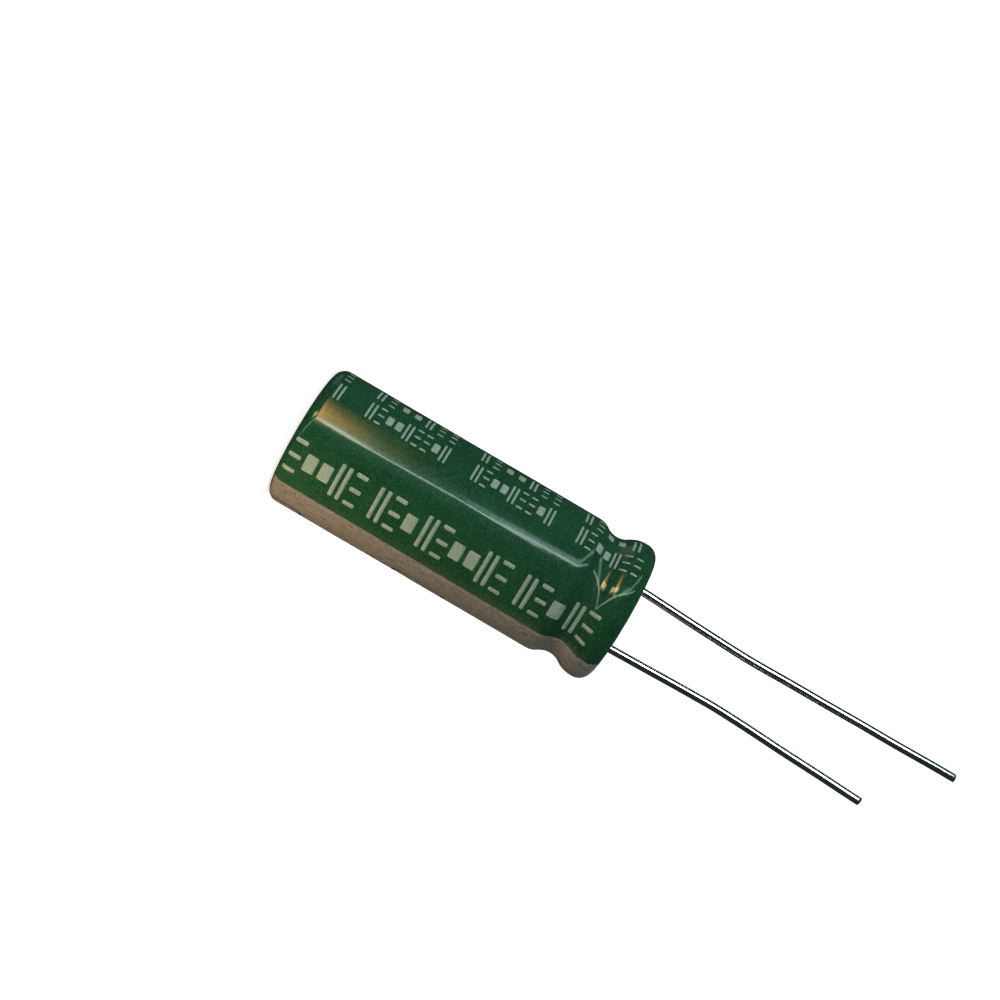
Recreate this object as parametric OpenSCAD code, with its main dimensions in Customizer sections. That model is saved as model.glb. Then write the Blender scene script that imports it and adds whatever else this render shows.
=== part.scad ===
// Radial aluminium electrolytic capacitor with a printed heat-shrink sleeve.
// It stands on its closed end: the axis is Z, the sleeve rests on Z = 0 and the leads point up.
// The two leads lie in the XZ plane, with the negative lead and the polarity stripe on the +X side.

/* [Can] */
// Outer diameter of the bare can
can_d = 10; // [9.5:0.1:12.5]
// Length of the bare can, from the closed end to the top of the curled rim
can_l = 25.2; // [20:0.1:32]
// Thickness of the can's sheet
can_wall = 0.3; // [0.2:0.01:0.35]
// Outer radius of the corner at the closed end
head_corner_r = 0.65; // [0.45:0.05:1]
// Outer radius of the corner where the wall turns in over the bung
rim_corner_r = 0.8; // [0.6:0.05:0.9]
// Width of the flat on top of the rim
rim_flat = 0.25; // [0.1:0.05:0.4]
// Outer radius of the curl that turns the rim down
curl_r = 0.45; // [0.4:0.05:0.55]
// Straight length of the rim's edge below the curl
curl_bite = 0.25; // [0.15:0.05:0.5]

/* [Rolled groove] */
// Distance from the top of the rim down to the deepest line of the groove
groove_from_rim = 2.95; // [2.9:0.05:4]
// Depth of the groove below the straight wall
groove_depth = 0.52; // [0.3:0.02:0.6]
// Radius of the groove's floor
groove_r = 1.6; // [1:0.1:1.8]
// Radius of the bend from the wall into the groove
groove_entry_r = 1.3; // [0.8:0.1:1.8]
// Radius of the bend from the groove out to the bead
groove_exit_r = 1.8; // [1:0.1:2]
// Height of the bead above the straight wall
bead_rise = 0.1; // [0:0.02:0.14]

/* [Pressure vent] */
// Length of each scored line across the closed end
vent_l = 6.4; // [3:0.1:7]
// Width of the scored lines
vent_w = 0.25; // [0.15:0.05:0.5]
// Depth of the scored lines
vent_depth = 0.1; // [0.05:0.01:0.15]

/* [Shrink sleeve] */
// Thickness of the sleeve's film
sleeve_wall = 0.15; // [0.08:0.01:0.25]
// Reach of the sleeve over the closed end, from the outside of the wall inwards
head_lap = 1.1; // [1:0.05:1.6]
// Reach of the sleeve over the rim, from the outside of the wall inwards
rim_lap = 1.15; // [1.05:0.05:1.4]
// Clearance between the film and the metal
skin_gap = 0.01; // [0:0.005:0.05]

/* [Rubber bung] */
// Height of the bung
bung_h = 4.65; // [4.4:0.05:6]
// Distance from the underside of the curl down to the top of the bung
bung_drop = 0.05; // [0:0.01:0.1]
// Clearance between the rubber and the metal that it seals
bung_gap = 0.02; // [0.005:0.005:0.05]
// Diameter of the mouth of each lead hole
hole_mouth_d = 1.4; // [1:0.1:2]
// Depth of the mouth of each lead hole
hole_mouth_l = 0.35; // [0.1:0.05:0.6]

/* [Leads] */
// Diameter of the lead wire
lead_d = 0.6; // [0.5:0.05:0.8]
// Distance between the leads where they leave the bung
lead_pitch = 5; // [4:0.1:5.4]
// Rise of the wire's surface at each bend
knuckle_rise = 0.005; // [0.002:0.001:0.02]
// Length of the positive lead from the body to its bend
anode_near_l = 8.5; // [4:0.1:12]
// Lean of that length towards the negative lead, in degrees
anode_near_angle = 3; // [-5:0.1:5]
// Length of the positive lead beyond its bend
anode_far_l = 17.6; // [5:0.1:20]
// Lean of that length towards the negative side, in degrees
anode_far_angle = -0.4; // [-5:0.1:5]
// Length of the negative lead from the body to its bend
cathode_near_l = 8.6; // [4:0.1:12]
// Lean of that length away from the positive lead, in degrees
cathode_near_angle = -1.3; // [-5:0.1:5]
// Length of the negative lead beyond its bend
cathode_far_l = 12; // [5:0.1:20]
// Lean of that length away from the positive lead, in degrees
cathode_far_angle = 3; // [-5:0.1:5]

/* [Tabs] */
// Diameter of the round stem that passes through the bung
stem_d = 1.5; // [1.2:0.1:1.7]
// Length of the stem inside the bung
stem_in_bung = 2.8; // [2:0.1:3.2]
// Length of the stem below the bung
stem_below_bung = 0.5; // [0.3:0.1:0.8]
// Length of the cone from the stem up to the wire's weld
weld_cone_l = 0.4; // [0.2:0.1:0.6]
// Thickness of the flattened paddle
paddle_t = 0.2; // [0.15:0.01:0.3]
// Width of the paddle
paddle_w = 1.8; // [1.4:0.1:2.2]
// Distance of the paddle's lower end above the foil's lower edge
paddle_from_edge = 2; // [0.5:0.1:6]

/* [Winding] */
// Diameter of the hollow core that the winding pin leaves
core_d = 2; // [1.5:0.1:2.4]
// Thickness of the etched anode foil
anode_foil_t = 0.1; // [0.08:0.01:0.12]
// Thickness of the cathode foil
cathode_foil_t = 0.05; // [0.03:0.01:0.08]
// Thickness of each separator paper
paper_t = 0.05; // [0.04:0.01:0.08]
// Thickness of the tape that closes the winding
tape_t = 0.05; // [0.03:0.01:0.08]
// Slack between neighbouring layers
layer_gap = 0.01; // [0.005:0.005:0.03]
// Reach of the papers past the foils at each end
paper_margin = 0.6; // [0.3:0.1:1]
// Reach of the tape's edges inside the papers' edges
tape_margin = 0.3; // [0.1:0.1:1]
// Clearance between the widest part of the winding and the can
winding_clearance = 0.1; // [0.05:0.01:0.3]
// Clearance between the winding and the can's closed end
winding_seat_gap = 0.05; // [0.02:0.01:0.2]
// Free height between the winding and the bung
headroom = 1.1; // [0.9:0.1:2]

/* [Print] */
// Thickness of the ink
ink_t = 0.02; // [0.01:0.005:0.03]
// Direction of the middle of the polarity stripe about Z, in degrees
stripe_angle = 14.4; // [-30:0.1:30]
// Width of the polarity stripe, measured round the sleeve
stripe_w = 6.3; // [3:0.1:8]
// Length of each minus mark along the axis
mark_l = 4.1; // [2:0.1:6]
// Width of each minus mark
mark_w = 1.25; // [0.8:0.05:2]
// Width of the bare line that draws each minus mark
mark_line = 0.2; // [0.1:0.05:0.3]
// Height of the middle of the lowest minus mark
mark_first_z = 0.8; // [0.8:0.1:6]
// Distance between minus marks
mark_period = 11.3; // [6:0.1:14]
// Width of the strokes in the two small rows
small_stroke = 0.16; // [0.1:0.02:0.3]
// Length of each printed shape in the small rows, along the axis
small_cell_l = 0.5; // [0.4:0.05:0.6]
// Height of the small rows, measured round the sleeve
small_row_w = 1.6; // [0.8:0.1:2]
// Height of the first group of shapes in the small rows
small_first_z = 3.4; // [2:0.1:6]
// Length of each group of shapes in the small rows
small_group_l = 6.2; // [4:0.1:7]
// Distance between groups of shapes in the small rows
small_period = 8.2; // [7.5:0.05:12]
// Width of the strokes in the large row
large_stroke = 0.3; // [0.2:0.05:0.4]
// Length of each printed shape in the large row, along the axis
large_cell_l = 0.85; // [0.8:0.05:1]
// Height of the large row, measured round the sleeve
large_row_w = 2.5; // [1.5:0.1:3.5]
// Height of the first short group of shapes in the large row
large_first_z = 6.9; // [5:0.1:9]
// Length of each short group in the large row
large_short_l = 3.2; // [2.8:0.1:3.4]
// Space between a short group and the long group after it
large_group_gap = 0.5; // [0.4:0.05:1]
// Length of each long group in the large row
large_long_l = 6.6; // [6:0.1:7]
// Distance between short groups in the large row
large_period = 11.3; // [11:0.1:14]

/* [Hidden] */

// Fineness of round shapes: facets of a circle, degrees per step of a profile's arc
$fn = 96;
wire_fn = 32;
arc_step = 9;

// Radii and heights of the can's outer surface
can_r = can_d / 2;
bead_r = can_r + bead_rise;
head_z = sleeve_wall + skin_gap;
rim_z = head_z + can_l;
groove_z = rim_z - groove_from_rim;
entry_sum = groove_r + groove_entry_r;
exit_sum = groove_r + groove_exit_r;
entry_turn = acos((entry_sum - groove_depth) / entry_sum);
exit_turn = acos((exit_sum - groove_depth - bead_rise) / exit_sum);
curl_x = bead_r - rim_corner_r - rim_flat;
edge_x = curl_x - curl_r;
edge_z = rim_z - curl_r - curl_bite;

// Heights of the bung, the stems and the winding
bung_top = rim_z - curl_r - bung_drop;
bung_z = bung_top - bung_h;
weld_z = bung_z + stem_in_bung;
stem_z = bung_z - stem_below_bung;
paper_z = head_z + can_wall + winding_seat_gap;
paper_top = bung_z - headroom;
foil_z = paper_z + paper_margin;
foil_top = paper_top - paper_margin;

// Winding: order of the layers from the inside, and where each starts within one turn
ray_step = 10;
rays = 360 / ray_step;
core_r = core_d / 2;
anode_at = paper_t + layer_gap;
outer_paper_at = anode_at + anode_foil_t + layer_gap;
cathode_at = outer_paper_at + paper_t + layer_gap;
turn_pitch = cathode_at + cathode_foil_t + layer_gap;
bulge = paddle_t + layer_gap;
paddle_rays = round(asin(paddle_w / lead_pitch) / ray_step);
bulge_flat = paddle_rays * ray_step;
bulge_slope = 3 * ray_step;
paddle_r = (lead_pitch - paddle_t) / 2;
anode_side = 180;
cathode_side = 0;
anode_turn = round((paddle_r - core_r - outer_paper_at) / turn_pitch - anode_side / 360);
cathode_turn = round((paddle_r - core_r) / turn_pitch) - 1;
winding_r = can_r - can_wall - winding_clearance - bulge - tape_t;
last_ray = floor((winding_r - core_r) / turn_pitch * rays) - rays;

// Directions of the rows of plain printed shapes about Z, and how many shapes each group holds
small_row_angles = [-133.4, -108.8];
small_row_cells = [7, 9];
large_row_angle = -46.6;
large_short_cells = 3;
large_long_cells = 6;
body_top = rim_z + head_z;

// Points [radius, height, direction of the outward normal] along an arc; side -1 makes it a hollow one
function arc(centre, r, from, to, side = 1, first = 0) =
    let (n = max(2, ceil(abs(to - from) / arc_step)))
    [for (i = [first:n])
        let (a = from + (to - from) * i / n)
        [centre[0] + side * r * cos(a), centre[1] + side * r * sin(a), a]];

// The same points moved along their normals
function moved(path, t) = [for (p = path) [p[0] + t * cos(p[2]), p[1] + t * sin(p[2])]];

function reversed(list) = [for (i = [len(list) - 1:-1:0]) list[i]];

// Closed outline of the layer between two distances from a path
function band(path, near, far) = concat(moved(path, near), reversed(moved(path, far)));

// Outer surface of the can from the corner of the closed end to the corner of the rim
function wall_path() = concat(
    arc([can_r - head_corner_r, head_z + head_corner_r], head_corner_r, -90, 0),
    arc([can_r - groove_entry_r, groove_z - entry_sum * sin(entry_turn)], groove_entry_r, 0, entry_turn),
    arc([can_r - groove_depth + groove_r, groove_z], groove_r, entry_turn, -exit_turn, -1, 1),
    arc([bead_r - groove_exit_r, groove_z + exit_sum * sin(exit_turn)], groove_exit_r, -exit_turn, 0, 1, 1),
    arc([bead_r - rim_corner_r, rim_z - rim_corner_r], rim_corner_r, 0, 90)
);

// The rim's flat, its curl and its straight edge, which continue that surface
function rim_path() = concat(
    arc([curl_x, rim_z - curl_r], curl_r, 90, 180),
    [[edge_x, edge_z, 180]]
);

// The part of a path whose normals point away from the two ends
function side_path() = [for (p = wall_path()) if (abs(p[2]) < 60) p];

// Height of a layer's bulge over a paddle that lies on its foil at the given side and turn
function bulge_over(ray, at, side, turn, paddle_at) =
    let (angle = ray * ray_step - side)
    let (pass = round(angle / 360))
    let (off = abs(angle - 360 * pass))
    let (outside = pass > turn || (pass == turn && at >= paddle_at))
    let (fall = min(max((off - bulge_flat) / bulge_slope, 0), 1))
    outside ? bulge * (1 + cos(180 * fall)) / 2 : 0;

// Radius of a layer's inner face at one ray of the winding
function layer_r(ray, at) =
    core_r + turn_pitch * ray / rays + at
    + bulge_over(ray, at, anode_side, anode_turn, outer_paper_at)
    + bulge_over(ray, at, cathode_side, cathode_turn, turn_pitch);

// Closed outline of a strip that follows the winding from one ray to another
function strip_outline(at, t, from, to) =
    let (inner = [for (k = [from:to]) layer_r(k, at) * [cos(k * ray_step), sin(k * ray_step)]])
    let (outer = [for (k = [from:to]) (layer_r(k, at) + t) * [cos(k * ray_step), sin(k * ray_step)]])
    concat(inner, reversed(outer));

// A wound strip between two heights
module strip(at, t, from, to, z0, z1) {
    translate([0, 0, z0])
        linear_extrude(z1 - z0)
            polygon(strip_outline(at, t, from, to));
}

// Straight length of wire that starts with a rounded knuckle and leans towards +X, with what follows it
module wire_run(length, lean) {
    rotate([0, lean, 0]) {
        sphere(d = lead_d + 2 * knuckle_rise, $fn = wire_fn);
        cylinder(d = lead_d, h = length, $fn = wire_fn);
        translate([0, 0, length])
            children();
    }
}

// One lead, from its weld in the bung to its cut end
module lead(x, near_l, near_angle, far_l, far_angle) {
    translate([x, 0, weld_z])
        cylinder(d = lead_d, h = rim_z - weld_z, $fn = wire_fn);
    translate([x, 0, rim_z])
        wire_run(near_l, near_angle)
            wire_run(far_l, far_angle - near_angle);
}

// One aluminium tab: a round stem with a coned end, flattened below into a curved paddle on its foil
module tab(x, side, turn, paddle_at) {
    middle = side / ray_step + turn * rays;
    shift = turn_pitch * middle / rays + core_r;
    translate([x, 0, 0])
        rotate_extrude($fn = wire_fn)
            polygon([
                [0, stem_z], [stem_d / 2, stem_z], [stem_d / 2, weld_z - weld_cone_l],
                [lead_d / 2, weld_z], [0, weld_z]
            ]);
    translate([0, 0, foil_z + paddle_from_edge])
        linear_extrude(stem_z + stem_below_bung / 2 - foil_z - paddle_from_edge)
            polygon(paddle_outline(middle, shift, paddle_at));
}

// Closed outline of a paddle that lies on the outer face of its foil
function paddle_outline(middle, shift, paddle_at) =
    let (along = [for (k = [-paddle_rays:paddle_rays])
        [(middle + k) * ray_step, shift + turn_pitch * k / rays + paddle_at]])
    concat(
        [for (p = along) p[1] * [cos(p[0]), sin(p[0])]],
        reversed([for (p = along) (p[1] + paddle_t) * [cos(p[0]), sin(p[0])]])
    );

// Thin skin of ink over the side of the sleeve
module ink_skin(angle) {
    rotate_extrude(angle = angle)
        polygon(band(side_path(), skin_gap + sleeve_wall, skin_gap + sleeve_wall + ink_t));
}

// Straight-sided block through the side of the sleeve, centred on a direction, a shift round it and a height
module side_block(angle, z, across, along, shift = 0) {
    rotate([0, 0, angle])
        translate([can_r / 2, shift - across / 2, z - along / 2])
            cube([can_r, across, along]);
}

// One minus mark, drawn by a bare line
module minus_mark(z) {
    difference() {
        side_block(stripe_angle, z, mark_w, mark_l);
        side_block(stripe_angle, z, mark_w - 2 * mark_line, mark_l - 2 * mark_line);
    }
}

// One plain printed shape: a pair of bars, a solid block or three dashes
module print_cell(kind, angle, z, height, length, stroke) {
    if (kind == 0)
        for (end = [-1, 1])
            side_block(angle, z + end * (length - stroke) / 2, height, stroke);
    if (kind == 1)
        side_block(angle, z, height / 2, length);
    if (kind == 2)
        for (level = [-1:1])
            side_block(angle, z, stroke, length, level * (height - stroke) / 2);
}

// A row of evenly spaced groups of printed shapes, kept to the side of the sleeve
module print_row(angle, first_z, period, group_l, cells, height, length, stroke) {
    before = ceil(first_z / period);
    after = ceil((body_top - first_z) / period);
    step = (group_l - length) / (cells - 1);
    for (g = [-before:after]) {
        for (i = [0:cells - 1]) {
            z = first_z + g * period + length / 2 + i * step;
            if (z > head_z + head_corner_r && z < rim_z - rim_corner_r)
                print_cell((2 * i + floor(i / 3)) % 3, angle, z, height, length, stroke);
        }
    }
}

// Heat-shrink film that covers the can's side and laps over both ends
module shrink_sleeve() {
    lapped = concat(
        [[can_r - head_lap, head_z, -90]],
        wall_path(),
        [[can_r - rim_lap, rim_z, 90]]
    );
    color([0.11, 0.3, 0.18])
        rotate_extrude()
            polygon(band(lapped, skin_gap, skin_gap + sleeve_wall));
}

// Drawn can with its rolled groove, curled rim and scored pressure vent
module aluminium_can() {
    surface = concat([[0, head_z, -90]], wall_path(), rim_path());
    color([0.8, 0.81, 0.82])
        difference() {
            rotate_extrude()
                polygon(band(surface, 0, -can_wall));
            for (turn = [0, 90])
                rotate([0, 0, turn])
                    translate([-vent_l / 2, -vent_w / 2, head_z - vent_depth])
                        cube([vent_l, vent_w, 2 * vent_depth]);
        }
}

// Rubber bung, squeezed by the groove and the curled rim, with a stepped hole for each lead
module rubber_bung() {
    wall = [for (p = moved(concat(wall_path(), rim_path()), -can_wall - bung_gap)) if (p[1] > bung_z) p];
    foot_r = can_r - can_wall - bung_gap;
    outline = concat(
        [[0, bung_z], [foot_r, bung_z]],
        wall,
        [[edge_x + can_wall + bung_gap, edge_z - bung_gap], [edge_x - bung_gap, edge_z - bung_gap]],
        [[edge_x - bung_gap, bung_top], [0, bung_top]]
    );
    color([0.1, 0.1, 0.1])
        difference() {
            rotate_extrude()
                polygon(outline);
            for (side = [-1, 1])
                translate([side * lead_pitch / 2, 0, 0])
                    lead_hole();
        }
}

// Hole for one stem, one weld cone and one wire, with a flared mouth that runs out past the bung
module lead_hole() {
    stem_hole_r = stem_d / 2 + bung_gap;
    wire_hole_r = lead_d / 2 + bung_gap;
    mouth_r = hole_mouth_d - wire_hole_r;
    cone_z = weld_z - weld_cone_l + bung_gap;
    rotate_extrude($fn = wire_fn)
        polygon([
            [0, bung_z - bung_gap], [stem_hole_r, bung_z - bung_gap], [stem_hole_r, cone_z],
            [wire_hole_r, cone_z + weld_cone_l], [wire_hole_r, bung_top - hole_mouth_l],
            [mouth_r, bung_top + hole_mouth_l], [0, bung_top + hole_mouth_l]
        ]);
}

// Positive lead, the long one
module anode_lead() {
    color([0.75, 0.76, 0.77])
        lead(-lead_pitch / 2, anode_near_l, anode_near_angle, anode_far_l, anode_far_angle);
}

// Negative lead, the short one on the stripe's side
module cathode_lead() {
    color([0.75, 0.76, 0.77])
        lead(lead_pitch / 2, cathode_near_l, cathode_near_angle, cathode_far_l, cathode_far_angle);
}

// Tab stitched to the anode foil
module anode_tab() {
    color([0.85, 0.85, 0.86])
        tab(-lead_pitch / 2, anode_side, anode_turn, outer_paper_at);
}

// Tab stitched to the cathode foil
module cathode_tab() {
    color([0.85, 0.85, 0.86])
        tab(lead_pitch / 2, cathode_side, cathode_turn, turn_pitch);
}

// Etched and oxidised aluminium strip
module anode_foil() {
    color([0.6, 0.62, 0.62])
        strip(anode_at, anode_foil_t, rays, last_ray - rays, foil_z, foil_top);
}

// Plain aluminium strip, which covers the anode foil at both ends
module cathode_foil() {
    color([0.78, 0.79, 0.8])
        strip(cathode_at, cathode_foil_t, rays / 2, last_ray - rays / 2, foil_z, foil_top);
}

// Electrolyte paper inside the anode foil
module inner_separator() {
    color([0.85, 0.8, 0.68])
        strip(0, paper_t, 0, last_ray, paper_z, paper_top);
}

// Electrolyte paper between the anode foil and the cathode foil
module outer_separator() {
    color([0.85, 0.8, 0.68])
        strip(outer_paper_at, paper_t, 0, last_ray, paper_z, paper_top);
}

// One wrap of tape that closes the winding
module winding_tape() {
    color([0.72, 0.55, 0.3])
        strip(0, tape_t, last_ray + 1, last_ray + rays - 1, paper_z + tape_margin, paper_top - tape_margin);
}

// Printed stripe that marks the negative lead's side, with the minus marks left bare
module polarity_stripe() {
    arc_angle = stripe_w / (can_r + head_z) * 180 / PI;
    marks = floor((body_top - mark_first_z) / mark_period);
    color([0.47, 0.46, 0.41])
        difference() {
            rotate([0, 0, stripe_angle - arc_angle / 2])
                ink_skin(arc_angle);
            for (i = [0:marks])
                minus_mark(mark_first_z + i * mark_period);
        }
}

// Rows of plain printed shapes in pale ink
module printed_marks() {
    long_first_z = large_first_z + large_short_l + large_group_gap;
    color([0.68, 0.75, 0.68])
        intersection() {
            ink_skin(360);
            union() {
                for (i = [0:1])
                    print_row(small_row_angles[i], small_first_z, small_period, small_group_l,
                        small_row_cells[i], small_row_w, small_cell_l, small_stroke);
                print_row(large_row_angle, large_first_z, large_period, large_short_l,
                    large_short_cells, large_row_w, large_cell_l, large_stroke);
                print_row(large_row_angle, long_first_z, large_period, large_long_l,
                    large_long_cells, large_row_w, large_cell_l, large_stroke);
            }
        }
}

shrink_sleeve();
aluminium_can();
rubber_bung();
anode_lead();
cathode_lead();
anode_tab();
cathode_tab();
anode_foil();
cathode_foil();
inner_separator();
outer_separator();
winding_tape();
polarity_stripe();
printed_marks();
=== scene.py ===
"""Looks, studio and camera for the radial electrolytic capacitor.

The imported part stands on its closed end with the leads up. This script gives it a detailed
shrink sleeve with its print, drawn wires, and a finish for every piece, in the part's own frame.
Sizes are in millimetres and directions in degrees unless a name says otherwise.
"""

from __future__ import annotations

import logging
from dataclasses import dataclass, field, replace
from enum import Enum
from math import acos, ceil, cos, degrees, hypot, pi, radians, sin
from typing import NamedTuple, Sequence

import bpy
import numpy as np
from mathutils import Matrix, Vector

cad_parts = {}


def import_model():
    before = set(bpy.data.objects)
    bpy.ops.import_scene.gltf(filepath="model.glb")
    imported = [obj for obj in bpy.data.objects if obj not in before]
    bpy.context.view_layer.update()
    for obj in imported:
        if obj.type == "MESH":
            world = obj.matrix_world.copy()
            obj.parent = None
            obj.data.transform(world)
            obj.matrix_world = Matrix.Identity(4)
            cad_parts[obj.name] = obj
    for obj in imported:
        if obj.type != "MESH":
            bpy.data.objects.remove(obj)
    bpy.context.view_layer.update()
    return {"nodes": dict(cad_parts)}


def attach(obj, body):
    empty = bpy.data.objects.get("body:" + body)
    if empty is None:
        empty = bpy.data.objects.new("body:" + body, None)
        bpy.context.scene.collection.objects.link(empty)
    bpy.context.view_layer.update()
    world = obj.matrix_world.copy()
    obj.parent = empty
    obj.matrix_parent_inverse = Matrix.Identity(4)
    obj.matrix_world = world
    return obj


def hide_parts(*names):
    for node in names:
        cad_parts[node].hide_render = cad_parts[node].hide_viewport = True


LOG = logging.getLogger("capacitor")
MM = 0.001
BODY = "root"
WIRES = "wires"
INK_T = 0.018
INK_LIFT = 0.012

Colour = tuple[float, float, float]
Place = tuple[float, float, float]
Scale = tuple[float, float, float]
Face = tuple[int, ...]
Piece = bpy.types.Object
Socket = bpy.types.NodeSocket
WHITE: Colour = (1.0, 1.0, 1.0)


class Slot(Enum):
    """Material slots of the record for the new pieces; the script passes them along but assigns none."""

    FILM = "sleeve_film"
    STRIPE = "stripe_ink"
    MARKS = "mark_ink"
    LEAD = "lead_tin"


class CellKind(Enum):
    """Plain shapes that the printed rows are made of."""

    BARS = 0
    BLOCK = 1
    DASHES = 2


# Section of the case


class SectionPoint(NamedTuple):
    """A point of the can's outer surface in its section, with the direction of its normal."""

    radius: float
    height: float
    normal: float


@dataclass(frozen=True)
class CaseSection:
    """Section of the can, the rolled groove and the film that follows them."""

    can_r: float = 5.0
    can_l: float = 25.2
    head_corner_r: float = 0.65
    rim_corner_r: float = 0.8
    groove_from_rim: float = 2.95
    groove_depth: float = 0.52
    groove_r: float = 1.6
    groove_entry_r: float = 1.3
    groove_exit_r: float = 1.8
    bead_rise: float = 0.1
    sleeve_wall: float = 0.15
    skin_gap: float = 0.01
    head_lap: float = 1.1
    rim_lap: float = 1.15
    arc_step: float = 3.5
    straight_step: float = 0.25

    @property
    def head_z(self) -> float:
        """Height of the can's closed end."""
        return self.sleeve_wall + self.skin_gap

    @property
    def rim_z(self) -> float:
        """Height of the top of the can's rim."""
        return self.head_z + self.can_l

    @property
    def groove_z(self) -> float:
        """Height of the deepest line of the groove."""
        return self.rim_z - self.groove_from_rim

    @property
    def film_r(self) -> float:
        """Outer radius of the film on the straight wall."""
        return self.can_r + self.head_z

    def arc(self, centre: tuple[float, float], radius: float, start: float, end: float) -> list[SectionPoint]:
        """Points along one arc of the section.

        Args:
            centre: Radius and height of the arc's centre.
            radius: Radius of the arc, below zero where its centre lies outside the can.
            start: Direction of the first normal.
            end: Direction of the last normal.

        Returns:
            The points from start to end.
        """
        count = max(2, ceil(abs(end - start) / self.arc_step))
        turns = [start + (end - start) * i / count for i in range(count + 1)]
        return [SectionPoint(centre[0] + radius * cos(radians(turn)),
                             centre[1] + radius * sin(radians(turn)), turn) for turn in turns]

    def outline(self) -> list[SectionPoint]:
        """The can's outer surface under the film, from the lap on the closed end to the lap on the rim.

        Returns:
            Points with long straight stretches divided.
        """
        bead_r = self.can_r + self.bead_rise
        entry = self.groove_r + self.groove_entry_r
        leave = self.groove_r + self.groove_exit_r
        entry_turn = degrees(acos((entry - self.groove_depth) / entry))
        leave_turn = degrees(acos((leave - self.groove_depth - self.bead_rise) / leave))
        entry_z = self.groove_z - entry * sin(radians(entry_turn))
        leave_z = self.groove_z + leave * sin(radians(leave_turn))
        head = (self.can_r - self.head_corner_r, self.head_z + self.head_corner_r)
        rim = (bead_r - self.rim_corner_r, self.rim_z - self.rim_corner_r)
        corners = [SectionPoint(self.can_r - self.head_lap, self.head_z, -90.0)]
        corners += self.arc(head, self.head_corner_r, -90.0, 0.0)
        corners += self.arc((self.can_r - self.groove_entry_r, entry_z), self.groove_entry_r, 0.0, entry_turn)
        corners += self.arc((self.can_r - self.groove_depth + self.groove_r, self.groove_z),
                            -self.groove_r, entry_turn, -leave_turn)[1:]
        corners += self.arc((bead_r - self.groove_exit_r, leave_z), self.groove_exit_r, -leave_turn, 0.0)[1:]
        corners += self.arc(rim, self.rim_corner_r, 0.0, 90.0)
        corners.append(SectionPoint(self.can_r - self.rim_lap, self.rim_z, 90.0))
        return self.divided(corners)

    def divided(self, points: Sequence[SectionPoint]) -> list[SectionPoint]:
        """Adds points on stretches longer than the straight step.

        Args:
            points: The section's points in order.

        Returns:
            The same section with evenly divided stretches.
        """
        result = [points[0]]
        for a, b in zip(points, points[1:]):
            length = hypot(b.radius - a.radius, b.height - a.height)
            parts = max(1, ceil(length / self.straight_step))
            for i in range(1, parts + 1):
                t = i / parts
                result.append(SectionPoint(*(p + (q - p) * t for p, q in zip(a, b))))
        return result


# Relief of the shrunk film


@dataclass(frozen=True)
class Fold:
    """A crease of the film along a path of heights and directions."""

    path: tuple[tuple[float, float], ...]
    width: float
    rise: float
    taper: float = 0.2

    def height(self, z: np.ndarray, angle: np.ndarray, radius: float) -> np.ndarray:
        """Rise of the crease at given places.

        Args:
            z: Heights along the axis.
            angle: Directions round the axis, in radians.
            radius: Radius that turns directions into lengths.

        Returns:
            Rise along the normal, in millimetres.
        """
        first_z, first_turn = self.path[0]
        around = ((angle - radians(first_turn) + pi) % (2 * pi) - pi) * radius
        place = z - first_z + 1j * around
        steps = [complex(high - first_z, radians(turn - first_turn) * radius) for high, turn in self.path]
        total = sum(abs(b - a) for a, b in zip(steps, steps[1:]))
        away, share, done = np.inf, 0.0, 0.0
        for a, b in zip(steps, steps[1:]):
            t = np.clip(((place - a) * (b - a).conjugate()).real / abs(b - a) ** 2, 0.0, 1.0)
            distance = np.abs(place - a - t * (b - a))
            share = np.where(distance < away, (done + t * abs(b - a)) / total, share)
            away = np.minimum(distance, away)
            done += abs(b - a)
        fade = np.clip(np.minimum(share, 1.0 - share) / self.taper, 0.0, 1.0)
        return self.rise * fade * np.exp(-(away / self.width) ** 2)


@dataclass(frozen=True)
class GrooveCreases:
    """A pair of creases that meet in a V where the film shrank into the groove."""

    angle: float
    spread: float
    rise: float
    width: float = 0.08
    upper_share: float = 0.7
    lower: tuple[tuple[float, float], ...] = (
        (21.88, -36.0), (22.41, -25.0), (22.87, -17.5), (23.21, -9.0), (23.41, 3.0))
    upper: tuple[tuple[float, float], ...] = (
        (25.1, -35.0), (24.6, -23.0), (24.07, -18.0), (23.8, -11.0), (23.67, -1.0))

    def folds(self) -> list[Fold]:
        """The two creases, which open to the other side where the spread is negative."""
        return [Fold(tuple((z, self.angle + self.spread * a) for z, a in path), self.width, rise)
                for path, rise in ((self.lower, self.rise), (self.upper, self.rise * self.upper_share))]


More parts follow.
